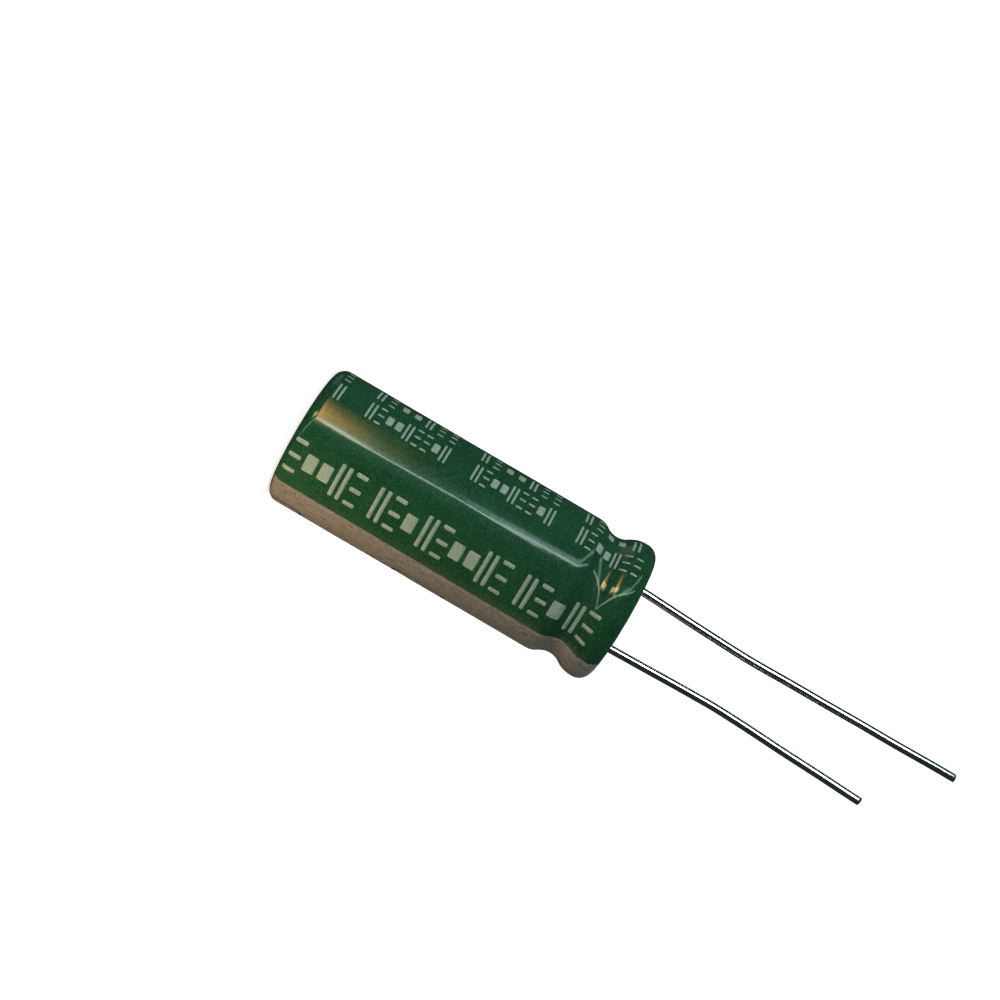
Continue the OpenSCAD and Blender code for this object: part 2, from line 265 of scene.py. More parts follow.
@dataclass(frozen=True)
class FilmRelief:
    """Small rises and hollows of the film over the metal."""

    section: CaseSection
    swell: float = 0.0035
    inset: float = 2.0
    pleat: float = 0.03
    pleat_reach: float = 1.1
    pleats: int = 23
    ridge: Fold = Fold(((0.85, -77.7), (6.3, -79.8), (11.0, -81.2), (16.0, -79.5), (20.0, -77.5),
                        (22.4, -78.0)), 0.13, 0.006)
    creases: tuple[GrooveCreases, ...] = (
        GrooveCreases(-60.3, 1.0, 0.004),
        GrooveCreases(20.0, -0.8, 0.01),
        GrooveCreases(88.0, 1.0, 0.013),
        GrooveCreases(160.0, -0.7, 0.014),
        GrooveCreases(-152.0, 0.6, 0.012),
    )

    @property
    def folds(self) -> list[Fold]:
        """The long ridge of the film and the creases round the groove."""
        return [self.ridge, *(fold for pair in self.creases for fold in pair.folds())]

    def height(self, z: np.ndarray, angle: np.ndarray, end: np.ndarray) -> np.ndarray:
        """Rise of the film at given places.

        Args:
            z: Heights along the axis.
            angle: Directions round the axis, in radians.
            end: How far each place lies onto the lap at an end, from 0 on the side to 1 at the cut edge.

        Returns:
            Rise along the normal, in millimetres.
        """
        swell = (np.sin(0.62 * z + 2.0 * angle) * np.cos(0.21 * z - 3.0 * angle + 0.8)
                 + 0.5 * np.sin(1.7 * z - angle + 1.9))
        pleats = np.sin(self.pleats * angle + 1.3 * np.sin(3.0 * angle))
        pleats = pleats * (0.6 + 0.4 * np.sin(5.0 * angle + z))
        rise = -self.swell * (self.inset + swell) * (1.0 - end) - self.pleat * end ** 2 * (1.0 + pleats) * 0.5
        for fold in self.folds:
            rise = rise + fold.height(z, angle, self.section.can_r) * (1.0 - end)
        return rise


# Meshes


def make_object(name: str, points: np.ndarray, faces: Sequence[Sequence[int]]) -> Piece:
    """Makes a smooth-shaded mesh object.

    Args:
        name: Name of the piece.
        points: Vertices in millimetres, one row each.
        faces: Vertex numbers of each face.

    Returns:
        The new object, linked to the scene.
    """
    mesh = bpy.data.meshes.new(name)
    mesh.from_pydata((points * MM).tolist(), [], [list(f) for f in faces])
    mesh.validate()
    mesh.polygons.foreach_set("use_smooth", [True] * len(mesh.polygons))
    mesh.update()
    piece = bpy.data.objects.new(name, mesh)
    bpy.context.scene.collection.objects.link(piece)
    return piece


def ink_layer(name: str, points: list[Place], faces: list[Face]) -> Piece:
    """Makes a sheet of ink: a thin closed layer that grows inwards.

    Args:
        name: Name of the piece.
        points: Vertices of its outer side, in millimetres.
        faces: Vertex numbers of each face.

    Returns:
        The new object.
    """
    piece = make_object(name, np.array(points), faces)
    layer = piece.modifiers.new("layer", "SOLIDIFY")
    layer.thickness = INK_T * MM
    layer.offset = -1.0
    return piece


def grid(rows: Sequence[int], columns: int, ring: bool = False) -> list[Face]:
    """Faces between neighbouring rows of points.

    Args:
        rows: Number of the first point of each row, in order.
        columns: Points in a row.
        ring: Whether each row closes on itself.

    Returns:
        Vertex numbers of each face, row by row.
    """
    return [(low + j, low + (j + 1) % columns, high + (j + 1) % columns, high + j)
            for low, high in zip(rows, rows[1:]) for j in range(columns if ring else columns - 1)]


def filled(values: Sequence[float], step: float) -> list[float]:
    """Divides the gaps between rising values into parts no longer than a step."""
    result = [values[0]]
    for a, b in zip(values, values[1:]):
        parts = max(1, ceil((b - a) / step))
        result += [a + (b - a) * i / parts for i in range(1, parts + 1)]
    return result


@dataclass
class FilmSurface:
    """The film's outer surface as a function of height and direction."""

    section: CaseSection
    relief: FilmRelief
    print_turn: float = 0.1
    print_middle_z: float = 13.0
    side_turn: float = 89.0

    def __post_init__(self) -> None:
        """Works out the section and its printed side once."""
        self.points = self.section.outline()
        side = [p for p in self.points if abs(p.normal) < self.side_turn]
        self.radii, self.heights, self.normals = zip(*side)

    def place(self, z: float, angle: float) -> Place:
        """A point of the print over the film's side, which is turned a little as the film shrank.

        Args:
            z: Height of the can's surface under the film.
            angle: Direction round the axis, in radians.

        Returns:
            The point in millimetres.
        """
        angle += radians(self.print_turn) * (z - self.print_middle_z)
        r = float(np.interp(z, self.heights, self.radii))
        turn = radians(float(np.interp(z, self.heights, self.normals)))
        film_z = z + self.section.head_z * sin(turn)
        rise = float(self.relief.height(np.array(film_z), np.array(angle), np.array(0.0)))
        out = self.section.head_z + rise + INK_LIFT
        r += out * cos(turn)
        return r * cos(angle), r * sin(angle), z + out * sin(turn)


@dataclass
class ShrinkSleeve:
    """The film: one closed tube that follows the can and laps over both ends."""

    surface: FilmSurface
    columns: int = 352
    edge_steps: int = 4
    inner_stride: int = 4
    lap_turn: float = 60.0

    def loop(self) -> list[tuple[float, float, float, float]]:
        """The closed section of the film.

        Returns:
            Rows of radius, height, direction of the normal in radians, and how far the point is on a lap
            (or -1 where it takes no relief).
        """
        section = self.surface.section
        points = self.surface.points
        rows = []
        for p in points:
            reach = section.can_r - p.radius if abs(p.normal) > self.lap_turn else 0.0
            lap = min(max(reach / self.surface.relief.pleat_reach, 0.0), 1.0)
            rows.append(self.moved(p, section.head_z, lap))
        half = section.sleeve_wall / 2
        for end, turn in ((points[-1], 1.0), (points[0], -1.0)):
            middle = self.moved(end, section.skin_gap + half, 1.0)
            for i in range(1, self.edge_steps):
                a = pi * i / self.edge_steps
                rows.append((middle[0] - half * sin(a), middle[1] + turn * half * cos(a),
                             middle[2], 1.0))
            if turn > 0:
                rows += [self.moved(p, section.skin_gap, -1.0) for p in points[::-self.inner_stride]]
        return rows

    @staticmethod
    def moved(p: SectionPoint, out: float, lap: float) -> tuple[float, float, float, float]:
        """A row of the loop, moved along a section point's normal."""
        a = radians(p.normal)
        return p.radius + out * cos(a), p.height + out * sin(a), a, lap

    def build(self) -> Piece:
        """Builds the film.

        Returns:
            The sleeve.
        """
        r, z, normal, lap = np.array(self.loop()).T[:, :, None]
        angle = np.linspace(0.0, 2 * pi, self.columns, endpoint=False)[None, :]
        rise = self.surface.relief.height(z, angle, np.maximum(lap, 0.0)) * (lap >= 0.0)
        radius = r + rise * np.cos(normal)
        height = z + rise * np.sin(normal)
        points = np.stack([radius * np.cos(angle), radius * np.sin(angle),
                           np.broadcast_to(height, radius.shape)], axis=-1)
        rows = [*range(0, radius.size, self.columns), 0]
        return make_object("sleeve_film", points.reshape(-1, 3), grid(rows, self.columns, ring=True))


@dataclass
class PolarityStripe:
    """The printed stripe on the negative lead's side, with its minus marks left bare."""

    surface: FilmSurface
    middle: float = 14.4
    width: float = 6.3
    mark_l: float = 4.1
    mark_w: float = 1.25
    mark_line: float = 0.2
    mark_first_z: float = 0.8
    mark_period: float = 11.3
    mark_count: int = 3
    end_gap: float = 0.12
    tooth: float = 0.06
    row_step: float = 0.09
    column_step: float = 0.45

    @property
    def marks(self) -> list[float]:
        """Heights of the middles of the minus marks."""
        return [self.mark_first_z + i * self.mark_period for i in range(self.mark_count)]

    def columns(self) -> list[float]:
        """Places across the stripe, which take in the sides of the minus marks."""
        half = self.width / 2
        inner = self.mark_w / 2 - self.mark_line
        fixed = [-half, -self.mark_w / 2, -inner, inner, self.mark_w / 2, half]
        return filled(fixed, self.column_step)

    def rows(self) -> list[float]:
        """Heights up the stripe, which take in the ends of the minus marks."""
        section = self.surface.section
        low = section.head_z + self.end_gap
        high = section.rim_z - self.end_gap
        fixed = {low, high}
        for middle in self.marks:
            for half in (self.mark_l / 2, self.mark_l / 2 - self.mark_line):
                fixed |= {z for z in (middle - half, middle + half) if low < z < high}
        return filled(sorted(fixed), self.row_step)

    def bare(self, across: float, z: float) -> bool:
        """Whether a place lies on the bare line that draws a minus mark."""
        half_l, half_w = self.mark_l / 2, self.mark_w / 2
        depths = [min(half_l - abs(z - middle), half_w - abs(across)) for middle in self.marks]
        return any(0.0 < depth < self.mark_line for depth in depths)

    def build(self) -> Piece:
        """Builds the stripe as a thin layer with toothed edges.

        Returns:
            The stripe.
        """
        columns = self.columns()
        rows = self.rows()
        points = []
        for i, z in enumerate(rows):
            tooth = self.tooth if i % 2 else -self.tooth
            for j, across in enumerate(columns):
                shift = {0: -tooth, len(columns) - 1: tooth}.get(j, 0.0)
                angle = radians(self.middle) + (across + shift) / self.surface.section.film_r
                points.append(self.surface.place(z, angle))
        width = len(columns)
        faces = []
        for face in grid(range(0, len(points), width), width):
            i, j = divmod(face[0], width)
            if not self.bare((columns[j] + columns[j + 1]) / 2, (rows[i] + rows[i + 1]) / 2):
                faces.append(face)
        return ink_layer("polarity_stripe_ink", points, faces)


@dataclass(frozen=True)
class PrintRow:
    """One row of evenly spaced groups of plain shapes."""

    angle: float
    first_z: float
    period: float
    group_l: float
    cells: int
    height: float
    length: float
    stroke: float

    def places(self, low: float, high: float) -> list[tuple[float, CellKind]]:
        """Heights and kinds of the row's shapes.

        Args:
            low: Lowest height that a shape's middle may have.
            high: Highest height that a shape's middle may have.

        Returns:
            The shapes from the closed end to the rim.
        """
        before = ceil(self.first_z / self.period)
        after = ceil((high - self.first_z) / self.period)
        step = (self.group_l - self.length) / (self.cells - 1)
        found = []
        for group in range(-before, after + 1):
            for i in range(self.cells):
                z = self.first_z + group * self.period + self.length / 2 + i * step
                if low < z < high:
                    found.append((z, CellKind((2 * i + i // 3) % 3)))
        return found


@dataclass
class PrintedMarks:
    """Rows of plain pale shapes on the film."""

    surface: FilmSurface
    rows: tuple[PrintRow, ...] = (
        PrintRow(-133.4, 3.4, 8.2, 6.2, 7, 1.6, 0.5, 0.16),
        PrintRow(-108.8, 3.4, 8.2, 6.2, 9, 1.6, 0.5, 0.16),
        PrintRow(-46.6, 6.9, 11.3, 3.2, 3, 2.5, 0.85, 0.3),
        PrintRow(-46.6, 10.6, 11.3, 6.6, 6, 2.5, 0.85, 0.3),
    )
    step: float = 0.16
    corner: float = 0.09
    corner_cut: float = 0.3
    points: list[Place] = field(default_factory=list)
    faces: list[Face] = field(default_factory=list)

    def bar(self, angle: float, across: float, z: float, width: float, length: float) -> None:
        """Adds one rectangle with rounded ends.

        Args:
            angle: Direction of the row.
            across: Place of the bar's middle across the row.
            z: Height of the bar's middle.
            width: Size round the film.
            length: Size along the axis.
        """
        flat = width >= length
        long, short = (width, length) if flat else (length, width)
        corner = min(short / 2, self.corner)
        cut = corner * self.corner_cut
        cuts = [(-long / 2, short / 2 - corner), (-long / 2 + cut, short / 2 - cut)]
        cuts.append((-long / 2 + corner, short / 2))
        inner = filled([-long / 2 + corner, long / 2 - corner], self.step)[1:-1]
        cuts += [(u, short / 2) for u in inner]
        cuts += [(-u, v) for u, v in cuts[2::-1]]
        first = len(self.points)
        sides = np.linspace(-1.0, 1.0, max(3, 2 * ceil(short / (2.0 * self.step)) + 1))
        for u, half in cuts:
            for side in sides:
                along, off = (side * half, u) if flat else (u, side * half)
                turn = radians(angle) + (across + off) / self.surface.section.film_r
                self.points.append(self.surface.place(z + along, turn))
        faces = grid(range(first, len(self.points), len(sides)), len(sides))
        self.faces += [face[::-1] for face in faces] if flat else faces

    def cell(self, row: PrintRow, z: float, kind: CellKind) -> None:
        """Adds one plain shape.

        Args:
            row: The row that it stands in.
            z: Height of its middle.
            kind: Which shape it is.
        """
        if kind is CellKind.BARS:
            for end in (-1.0, 1.0):
                self.bar(row.angle, 0.0, z + end * (row.length - row.stroke) / 2, row.height, row.stroke)
        elif kind is CellKind.BLOCK:
            self.bar(row.angle, 0.0, z, row.height / 2, row.length)
        else:
            for level in (-1.0, 0.0, 1.0):
                self.bar(row.angle, level * (row.height - row.stroke) / 2, z, row.stroke, row.length)

    def build(self) -> Piece:
        """Builds all the rows as one thin layer.

        Returns:
            The printed shapes.
        """
        section = self.surface.section
        low = section.head_z + section.head_corner_r
        high = section.rim_z - section.rim_corner_r
        for row in self.rows:
            for z, kind in row.places(low, high):
                self.cell(row, z, kind)
        return ink_layer("printed_shapes", self.points, self.faces)


@dataclass
class LeadWire:
    """One tinned wire, drawn straight, bent by hand and cut at its end."""

    name: str
    node: str
    x: float
    near_l: float
    near_angle: float
    far_l: float
    far_angle: float
    exit_z: float
    start_z: float = 23.0
    radius: float = 0.3
    bend_passes: int = 14
    sides: int = 28
    ring_step: float = 0.2
    wander: float = 0.008
    free_from: float = 1.0
    free_over: float = 6.0
    slant: float = 0.05
    tip_rings: tuple[tuple[float, float], ...] = ((0.0, 0.985), (-0.03, 0.93))
    phase: float = 0.0

    def centre_line(self) -> np.ndarray:
        """Middle of the wire in the plane of the leads, with sharp bends.

        Returns:
            Rows of x and z.
        """
        stem = self.exit_z - self.start_z
        runs = ((stem, 0.0), (self.near_l, self.near_angle), (self.far_l, self.far_angle))
        at = np.array([self.x, self.start_z])
        rows = []
        for length, angle in runs:
            run = length * np.array([sin(radians(angle)), cos(radians(angle))])
            count = max(2, round(length / self.ring_step))
            rows += [at + run * k / count for k in range(count)]
            at = at + run
        return np.array([*rows, at])

    def smoothed(self) -> np.ndarray:
        """Rounds the bends of the centre line and adds the slight wander of a handled wire.

        Returns:
            Rows of x, y, z.
        """
        x, z = self.centre_line().T
        for _ in range(self.bend_passes):
            x[1:-1] = (x[:-2] + 2 * x[1:-1] + x[2:]) / 4
        free = np.clip((z - self.exit_z - self.free_from) / self.free_over, 0.0, 1.0)
        x = x + self.wander * free * np.sin(1.1 * z + self.phase)
        y = self.wander * free * np.sin(0.7 * z + 2.0 * self.phase)
        return np.stack([x, y, z], axis=-1)

    def build(self) -> Piece:
        """Sweeps the wire and closes its ends; the outer end shows the cutter's slanted face.

        Returns:
            The wire.
        """
        line = self.smoothed()
        turns = np.linspace(0.0, 2 * pi, self.sides, endpoint=False)
        points = []
        for i, centre in enumerate(line):
            axis = Vector(line[min(i + 1, len(line) - 1)] - line[max(i - 1, 0)]).normalized()
            side = Vector((0.0, 1.0, 0.0)).cross(axis).normalized()
            up = axis.cross(side)
            points += [Vector(centre) + (side * cos(a) + up * sin(a)) * self.radius for a in turns]
        for depth, share in self.tip_rings:
            r = self.radius * share
            for a in turns:
                slant = self.slant * (cos(a + self.phase) - 1.0)
                points.append(Vector(line[-1]) + Vector((cos(a) * r, sin(a) * r, slant + depth)))
        n = self.sides
        starts = list(range(0, len(points), n))
        del starts[-1 - len(self.tip_rings)]
        faces = grid(starts, n, ring=True)
        faces += [tuple(range(n - 1, -1, -1)), tuple(range(starts[-1], len(points)))]
        return make_object(self.name, np.array([tuple(p) for p in points]), faces)


# Finishes


class Shader:
    """A node material under construction."""

    def __init__(self, name: str) -> None:
        """Starts a material with a Principled shader.

        Args:
            name: Name of the material.
        """
        self.material = bpy.data.materials.new(name)
        self.material.use_nodes = True
        self.tree = self.material.node_tree
        self.surface = self.tree.nodes["Principled BSDF"]
        self.place = self.add("ShaderNodeTexCoord").outputs["Object"]

    def add(self, kind: str, **inputs: object) -> bpy.types.Node:
        """Adds a node and sets or links its inputs.

        Args:
            kind: Blender's name of the node.
            **inputs: Input names, with underscores for spaces, and their values or the sockets to link.

        Returns:
            The node.
        """
        node = self.tree.nodes.new(kind)
        self.fill(node, inputs)
        return node

    def fill(self, node: bpy.types.Node, inputs: dict[str, object]) -> None:
        """Sets or links the named inputs of a node."""
        for name, value in inputs.items():
            self.feed(node.inputs[name.replace("_", " ")], value)

    def feed(self, socket: Socket, value: object) -> None:
        """Links a socket to an input, or sets the input's value."""
        if isinstance(value, Socket):
            self.tree.links.new(value, socket)
        else:
            socket.default_value = value

    def set(self, **inputs: object) -> None:
        """Sets or links inputs of the Principled shader."""
        self.fill(self.surface, inputs)

    def stretched(self, scale: Scale) -> Socket:
        """Object coordinates scaled by a factor for each axis."""
        return self.add("ShaderNodeMapping", Vector=self.place, Scale=scale).outputs["Vector"]

    def noise(self, scale: float, detail: float = 3.0, roughness: float = 0.5,
              vector: Socket | None = None) -> Socket:
        """A noise texture.

        Args:
            scale: Number of features in a metre.
            detail: Number of finer layers.
            roughness: Strength of the finer layers.
            vector: Coordinates, if not the object's own.

        Returns:
            The noise's value.
        """
        node = self.add("ShaderNodeTexNoise", Vector=vector or self.place, Scale=scale,
                        Detail=detail, Roughness=roughness)
        return node.outputs["Fac"]

    def ranged(self, value: Socket, low: float, high: float,
               to_low: float = 0.0, to_high: float = 1.0) -> Socket:
        """Maps a range of values to another, without going past it.

        Args:
            value: The value to map.
            low: Value that gives to_low.
            high: Value that gives to_high.
            to_low: Lowest result.
            to_high: Highest result.

        Returns:
            The mapped value.
        """
        node = self.add("ShaderNodeMapRange", Value=value, From_Min=low, From_Max=high,
                        To_Min=to_low, To_Max=to_high)
        return node.outputs["Result"]

    def mixed(self, share: object, first: object, second: object) -> Socket:
        """Mixes two colours.

        Args:
            share: Share of the second colour.
            first: First colour or socket.
            second: Second colour or socket.

        Returns:
            The mixed colour.
        """
        node = self.tree.nodes.new("ShaderNodeMix")
        node.data_type = "RGBA"
        self.feed(node.inputs["Factor"], share)
        for name, value in (("A", first), ("B", second)):
            socket = next(s for s in node.inputs if s.name == name and s.type == "RGBA")
            self.feed(socket, (*value, 1.0) if isinstance(value, tuple) else value)
        return next(s for s in node.outputs if s.type == "RGBA")

    def maths(self, operation: str, first: object, second: object) -> Socket:
        """One arithmetic step.

        Args:
            operation: Blender's name of the operation.
            first: First value or socket.
            second: Second value or socket.

        Returns:
            The result.
        """
        node = self.tree.nodes.new("ShaderNodeMath")
        node.operation = operation
        self.feed(node.inputs[0], first)
        self.feed(node.inputs[1], second)
        return node.outputs[0]

    def bump(self, height: Socket, depth: float, **under: object) -> Socket:
        """A bump layer.

        Args:
            height: Height from 0 to 1.
            depth: Depth of the relief, in millimetres.
            **under: The input Normal, where there is a layer below.

        Returns:
            The new normal.
        """
        node = self.add("ShaderNodeBump", Height=height, Distance=depth * MM, Strength=1.0, **under)
        return node.outputs["Normal"]


@dataclass(frozen=True)
class FilmFinish:
    """Glossy green shrink film with a faint orange peel."""

    deep: Colour = (0.008, 0.06, 0.024)
    light: Colour = (0.013, 0.084, 0.034)
    fleck: Colour = (0.04, 0.16, 0.075)
    roughness: tuple[float, float] = (0.06, 0.13)
    cloud_scale: float = 320.0
    grain_scale: float = 7500.0
    peel_scale: float = 1500.0
    scuff_scale: Scale = (9000.0, 9000.0, 900.0)
    peel: float = 0.003
    grain: float = 0.0013

    def make(self) -> bpy.types.Material:
        """Builds the material."""
        s = Shader("shrink_film")
        cloud = s.ranged(s.noise(self.cloud_scale, 2.0), 0.35, 0.65)
        grain = s.noise(self.grain_scale, 2.0, 0.6)
        tone = s.mixed(cloud, self.deep, self.light)
        tone = s.mixed(s.ranged(grain, 0.42, 0.66, 0.0, 0.7), tone, self.fleck)
        s.set(Base_Color=tone, IOR=1.5)
        scuffs = s.noise(1.0, 4.0, 0.6, s.stretched(self.scuff_scale))
        s.set(Roughness=s.ranged(scuffs, 0.3, 0.75, *self.roughness))
        peel = s.bump(s.noise(self.peel_scale, 2.0), self.peel)
        s.set(Normal=s.bump(grain, self.grain, Normal=peel))
        return s.material


@dataclass(frozen=True)
class StripeFinish:
    """Grey ink with dark specks and faint streaks along the axis."""

    ink: Colour = (0.255, 0.245, 0.22)
    pale: Colour = (0.35, 0.34, 0.31)
    speck: Colour = (0.08, 0.076, 0.066)
    streak_scale: Scale = (5200.0, 5200.0, 1600.0)
    speck_scale: float = 5600.0
    roughness: tuple[float, float] = (0.24, 0.4)
    relief: float = 0.0015

    def make(self) -> bpy.types.Material:
        """Builds the material."""
        s = Shader("stripe_ink")
        streaks = s.noise(1.0, 3.0, 0.6, s.stretched(self.streak_scale))
        specks = s.noise(self.speck_scale, 2.0, 0.75)
        tone = s.mixed(s.ranged(streaks, 0.3, 0.7), self.ink, self.pale)
        share = s.ranged(specks, 0.5, 0.68, 0.0, 0.8)
        s.set(Base_Color=s.mixed(share, tone, self.speck), IOR=1.5)
        s.set(Roughness=s.ranged(streaks, 0.3, 0.75, *self.roughness), Normal=s.bump(specks, self.relief))
        return s.material


@dataclass(frozen=True)
class MarkFinish:
    """Pale ink, a little thin in places."""

    ink: Colour = (0.42, 0.57, 0.47)
    thin: Colour = (0.2, 0.33, 0.24)
    cover_scale: float = 7000.0
    roughness: tuple[float, float] = (0.25, 0.4)
    relief: float = 0.0015

    def make(self) -> bpy.types.Material:
        """Builds the material."""
        s = Shader("mark_ink")
        cover = s.noise(self.cover_scale, 3.0, 0.7)
        s.set(Base_Color=s.mixed(s.ranged(cover, 0.45, 0.72), self.ink, self.thin), IOR=1.5)
        s.set(Roughness=s.ranged(cover, 0.3, 0.7, *self.roughness), Normal=s.bump(cover, self.relief))
        return s.material


@dataclass(frozen=True)
class WireFinish:
    """Bright tin on drawn wire, with fine draw lines and dull patches."""

    bright: Colour = (0.74, 0.745, 0.75)
    dull: Colour = (0.46, 0.45, 0.43)
    line_scale: Scale = (16000.0, 16000.0, 350.0)
    patch_scale: float = 900.0
    roughness: tuple[float, float] = (0.09, 0.13)
    relief: float = 0.00012

    def make(self) -> bpy.types.Material:
        """Builds the material."""
        s = Shader("tinned_wire")
        lines = s.noise(1.0, 4.0, 0.6, s.stretched(self.line_scale))
        patches = s.noise(self.patch_scale, 3.0, 0.6)
        s.set(Base_Color=s.mixed(s.ranged(patches, 0.5, 0.75), self.bright, self.dull), Metallic=1.0)
        s.set(Roughness=s.ranged(patches, 0.35, 0.75, *self.roughness), Normal=s.bump(lines, self.relief))
        return s.material


@dataclass(frozen=True)
class CanFinish:
    """Drawn aluminium with faint rings round the axis."""

    metal: Colour = (0.76, 0.77, 0.78)
    dark: Colour = (0.5, 0.5, 0.51)
    ring_scale: float = 9000.0
    drift_scale: float = 300.0
    stain_scale: float = 700.0
    roughness: tuple[float, float] = (0.3, 0.45)
    relief: float = 0.003

    def make(self) -> bpy.types.Material:
        """Builds the material."""
        s = Shader("drawn_aluminium")
        split = s.add("ShaderNodeSeparateXYZ", Vector=s.place)
        x, y = split.outputs["X"], split.outputs["Y"]
        radius = s.maths("SQRT", s.maths("ADD", s.maths("MULTIPLY", x, x), s.maths("MULTIPLY", y, y)), 0.0)
        ring = s.add("ShaderNodeCombineXYZ", X=s.maths("MULTIPLY", radius, self.ring_scale),
                     Y=s.maths("MULTIPLY", x, self.drift_scale), Z=s.maths("MULTIPLY", y, self.drift_scale))
        rings = s.noise(1.0, 4.0, 0.6, ring.outputs["Vector"])
        stains = s.noise(self.stain_scale)
        s.set(Base_Color=s.mixed(s.ranged(stains, 0.5, 0.8), self.metal, self.dark), Metallic=1.0)
        s.set(Roughness=s.ranged(rings, 0.3, 0.7, *self.roughness), Normal=s.bump(rings, self.relief))
        return s.material


@dataclass(frozen=True)
class RubberFinish:
    """Black moulded rubber with a dusty, finely rough face."""

    rubber: Colour = (0.012, 0.012, 0.013)
    dust: Colour = (0.045, 0.045, 0.044)
    dust_scale: float = 1400.0
    grain_scale: float = 9000.0
    roughness: tuple[float, float] = (0.5, 0.72)
    relief: float = 0.006

    def make(self) -> bpy.types.Material:
        """Builds the material."""
        s = Shader("bung_rubber")
        dust = s.noise(self.dust_scale, 4.0, 0.6)
        grain = s.noise(self.grain_scale)
        s.set(Base_Color=s.mixed(s.ranged(dust, 0.45, 0.75), self.rubber, self.dust))
        s.set(Roughness=s.ranged(grain, 0.3, 0.7, *self.roughness), Normal=s.bump(grain, self.relief))
        return s.material


@dataclass(frozen=True)
class SheetFinish:
    """Foil, paper or tape: a thin sheet with a grain along its length."""

    name: str
    tone: Colour
    other: Colour
    metallic: float
    roughness: float
    relief: float
    spread: float = 0.15
    fibre_scale: Scale = (1500.0, 1500.0, 6000.0)
    grain_scale: float = 8000.0

    def make(self) -> bpy.types.Material:
        """Builds the material."""
        s = Shader(self.name)
        fibres = s.noise(1.0, 4.0, 0.65, s.stretched(self.fibre_scale))
        grain = s.noise(self.grain_scale)
        s.set(Base_Color=s.mixed(s.ranged(fibres, 0.3, 0.7), self.tone, self.other), Metallic=self.metallic)
        s.set(Roughness=s.ranged(grain, 0.3, 0.7, self.roughness, self.roughness + self.spread))
        s.set(Normal=s.bump(fibres, self.relief))
        return s.material


TAB_FINISH = SheetFinish("tab_aluminium", (0.8, 0.8, 0.81), (0.68, 0.68, 0.69), 1.0, 0.3, 0.002)
ETCHED_FINISH = SheetFinish("etched_foil", (0.42, 0.43, 0.43), (0.32, 0.33, 0.33), 0.6, 0.6, 0.003)
PLAIN_FINISH = SheetFinish("plain_foil", (0.72, 0.73, 0.74), (0.6, 0.61, 0.62), 1.0, 0.35, 0.002)
PAPER_FINISH = SheetFinish("separator_paper", (0.66, 0.58, 0.42), (0.55, 0.47, 0.32), 0.0, 0.8, 0.006)
TAPE_FINISH = SheetFinish("tape_film", (0.46, 0.27, 0.1), (0.38, 0.21, 0.07), 0.0, 0.3, 0.001)


# Assemblies


def dress(piece: Piece, material: bpy.types.Material) -> None:
    """Gives a piece one material in all its slots."""
    if not piece.data.materials:
        piece.data.materials.append(material)
    for i in range(len(piece.data.materials)):
        piece.data.materials[i] = material


def fit(piece: Piece, material: bpy.types.Material, slot: Slot, *nodes: str) -> None:
    """Dresses a new piece and makes it stand for solids of the part.

    Args:
        piece: The piece.
        material: Its material.
        slot: Not used.
        *nodes: The solids that it replaces.
    """
    dress(piece, material)
    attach(piece, BODY)
    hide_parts(*nodes)
    LOG.info("%s stands for %s, with %d vertices", piece.name, ", ".join(nodes), len(piece.data.vertices))


@dataclass
class PrintedSleeve:
    """The film and everything that is printed on it."""

    section: CaseSection

    def build(self) -> None:
        """Builds, dresses and fits the film, the stripe and the rows."""
        surface = FilmSurface(self.section, FilmRelief(self.section))
        fit(ShrinkSleeve(surface).build(), FilmFinish().make(), Slot.FILM, "shrink_sleeve")
        fit(PolarityStripe(surface).build(), StripeFinish().make(), Slot.STRIPE, "polarity_stripe")
        fit(PrintedMarks(surface).build(), MarkFinish().make(), Slot.MARKS, "printed_marks")


@dataclass
class LeadPair:
    """The two tinned wires."""

    section: CaseSection
    pitch: float = 5.0

    def build(self) -> None:
        """Builds, dresses and fits both wires."""
        tin = WireFinish().make()
        group = bpy.data.collections.new(WIRES)
        wires = (
            LeadWire("anode_wire", "anode_lead", -self.pitch / 2, 8.5, 3.0, 17.6, -0.4,
                     self.section.rim_z, bend_passes=50, phase=0.4),
            LeadWire("cathode_wire", "cathode_lead", self.pitch / 2, 8.6, -1.3, 12.0, 3.0,
                     self.section.rim_z, phase=2.1),
        )
        for wire in wires:
            piece = wire.build()
            fit(piece, tin, Slot.LEAD, wire.node)
            group.objects.link(piece)


@dataclass
class CaseAndWinding:
    """The solids that keep their own form and get a finish."""

    nodes: dict[str, Piece]

    def build(self) -> None:
        """Dresses the can, the bung, the tabs and the wound strips."""
        tab = TAB_FINISH.make()
        paper = PAPER_FINISH.make()
        finishes = {
            "aluminium_can": CanFinish().make(),
            "rubber_bung": RubberFinish().make(),
            "anode_tab": tab,
            "cathode_tab": tab,
            "anode_foil": ETCHED_FINISH.make(),
            "cathode_foil": PLAIN_FINISH.make(),
            "inner_separator": paper,
            "outer_separator": paper,
            "winding_tape": TAPE_FINISH.make(),
        }
        for name, material in finishes.items():
            dress(self.nodes[name], material)
            LOG.info("%s dressed in %s", name, material.name)


# Studio and camera


